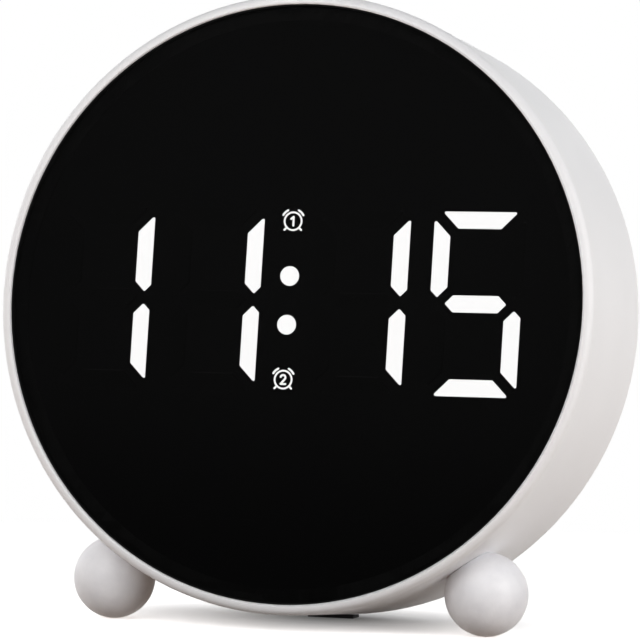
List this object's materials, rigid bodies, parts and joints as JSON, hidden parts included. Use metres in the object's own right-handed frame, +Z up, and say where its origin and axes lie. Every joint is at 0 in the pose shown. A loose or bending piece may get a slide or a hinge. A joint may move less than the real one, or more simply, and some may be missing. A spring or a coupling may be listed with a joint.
{
  "type": "alarm clock",
  "caption": "Round white bedside alarm clock standing on two ball feet, with a black glass-look face, large white digits, a top snooze bar, rear buttons and a night light.",
  "frame": {"origin": "centre of the bounding box at the table plane", "axes": "+X towards the viewer's right as the face is read, -Y out of the front face, +Z up from the table"},
  "size_m": [0.15, 0.0602, 0.1537],
  "materials": {
    "shell_white": "satin moulded ABS",
    "ball_white": "satin painted ABS",
    "cover_white": "fine matt moulded ABS",
    "lens_smoke": "smoked acrylic with an anti-glare coat",
    "film_black": "matt black printed polyester film",
    "gasket_black": "black moulded rubber",
    "segment_lit": "milky diffuser, lit white",
    "segment_dark": "milky diffuser behind smoked film, unlit",
    "baffle_white": "matt reflector moulding",
    "board_green": "solder-masked glass-epoxy laminate",
    "board_white": "white solder-masked laminate",
    "led_body": "surface-mount LED package",
    "chip_black": "moulded epoxy",
    "screw_steel": "zinc-plated steel",
    "header_cream": "nylon connector housing",
    "ribbon_grey": "grey flat cable, PVC on copper",
    "capacitor_black": "sleeved aluminium can",
    "switch_black": "moulded switch body",
    "plunger_black": "moulded switch plunger",
    "button_grey": "fine matt ABS",
    "snooze_white": "satin moulded ABS",
    "socket_steel": "nickel-plated steel shell",
    "tongue_black": "moulded liquid-crystal polymer",
    "diffuser_milky": "opal polycarbonate, unlit",
    "speaker_black": "stamped steel basket, black",
    "cone_paper": "pressed paper cone",
    "magnet_grey": "ferrite magnet in a steel cup",
    "cell_label": "printed film over a steel can",
    "contact_nickel": "nickel-plated spring steel",
    "pad_rubber": "soft translucent grey rubber",
    "wire_pvc": "PVC-covered stranded copper"
  },
  "bodies": {
    "clock": {"housing": "shell_white", "front_lens": "lens_smoke", "lens_gasket": "gasket_black", "display_mask": "film_black", "lit_segments": "segment_lit", "unlit_segments": "segment_dark", "colon_dots": "segment_lit", "alarm_one_icon": "segment_lit", "alarm_two_icon": "segment_lit", "light_baffle": "baffle_white", "display_board": "board_green", "display_leds": "led_body", "display_driver": "chip_black", "display_screws": "screw_steel", "ribbon_headers": "header_cream", "ribbon_cable": "ribbon_grey", "control_board": "board_green", "controller_chip": "chip_black", "board_capacitors": "capacitor_black", "control_board_screws": "screw_steel", "button_switches": "switch_black", "usb_socket": "socket_steel", "usb_tongue": "tongue_black", "rear_cover": "cover_white", "rear_cover_screws": "screw_steel", "night_light_diffuser": "diffuser_milky", "night_light_board": "board_white", "night_light_leds": "led_body", "speaker_frame": "speaker_black", "speaker_cone": "cone_paper", "speaker_magnet": "magnet_grey", "speaker_screws": "screw_steel", "backup_cells": "cell_label", "battery_springs": "contact_nickel", "battery_contacts": "contact_nickel", "snooze_board": "board_green", "snooze_board_screws": "screw_steel", "snooze_switch": "switch_black", "ball_foot_left": "ball_white", "ball_foot_right": "ball_white", "foot_screws": "screw_steel", "internal_wiring": "wire_pvc", "rear_foot_pad": "pad_rubber"},
    "time_set_key": {"time_set_button": "button_grey", "time_set_plunger": "plunger_black"},
    "alarm_one_key": {"alarm_one_button": "button_grey", "alarm_one_plunger": "plunger_black"},
    "alarm_two_key": {"alarm_two_button": "button_grey", "alarm_two_plunger": "plunger_black"},
    "down_key": {"down_button": "button_grey", "down_plunger": "plunger_black"},
    "up_key": {"up_button": "button_grey", "up_plunger": "plunger_black"},
    "light_key": {"light_button": "button_grey", "light_plunger": "plunger_black"},
    "snooze_bar": {"snooze_button": "snooze_white", "snooze_plunger": "plunger_black"},
    "battery_lid": {"battery_door": "cover_white"}
  },
  "joints": [
    {"name": "time_set_press", "type": "slide", "parent": "clock", "child": "time_set_key", "axis": [0, -0.9971, 0.0766], "range_m": [0, 0.0006], "stiffness_N_per_m": 1500, "springref_m": -0.0001},
    {"name": "alarm_one_press", "type": "slide", "parent": "clock", "child": "alarm_one_key", "axis": [0, -0.9971, 0.0766], "range_m": [0, 0.0006], "stiffness_N_per_m": 1500, "springref_m": -0.0001},
    {"name": "alarm_two_press", "type": "slide", "parent": "clock", "child": "alarm_two_key", "axis": [0, -0.9971, 0.0766], "range_m": [0, 0.0006], "stiffness_N_per_m": 1500, "springref_m": -0.0001},
    {"name": "down_press", "type": "slide", "parent": "clock", "child": "down_key", "axis": [0, -0.9971, 0.0766], "range_m": [0, 0.0006], "stiffness_N_per_m": 1500, "springref_m": -0.0001},
    {"name": "up_press", "type": "slide", "parent": "clock", "child": "up_key", "axis": [0, -0.9971, 0.0766], "range_m": [0, 0.0006], "stiffness_N_per_m": 1500, "springref_m": -0.0001},
    {"name": "light_press", "type": "slide", "parent": "clock", "child": "light_key", "axis": [0, -0.9971, 0.0766], "range_m": [0, 0.0006], "stiffness_N_per_m": 1500, "springref_m": -0.0001},
    {"name": "snooze_press", "type": "slide", "parent": "clock", "child": "snooze_bar", "axis": [0, -0.0766, -0.9971], "range_m": [0, 0.0008], "stiffness_N_per_m": 1500, "springref_m": -0.0002},
    {"name": "battery_door_hinge", "type": "hinge", "parent": "clock", "child": "battery_lid", "pos_m": [0, 0.01913, 0.03507], "axis": [-1, 0, 0], "range_deg": [0, 90]}
  ]
}
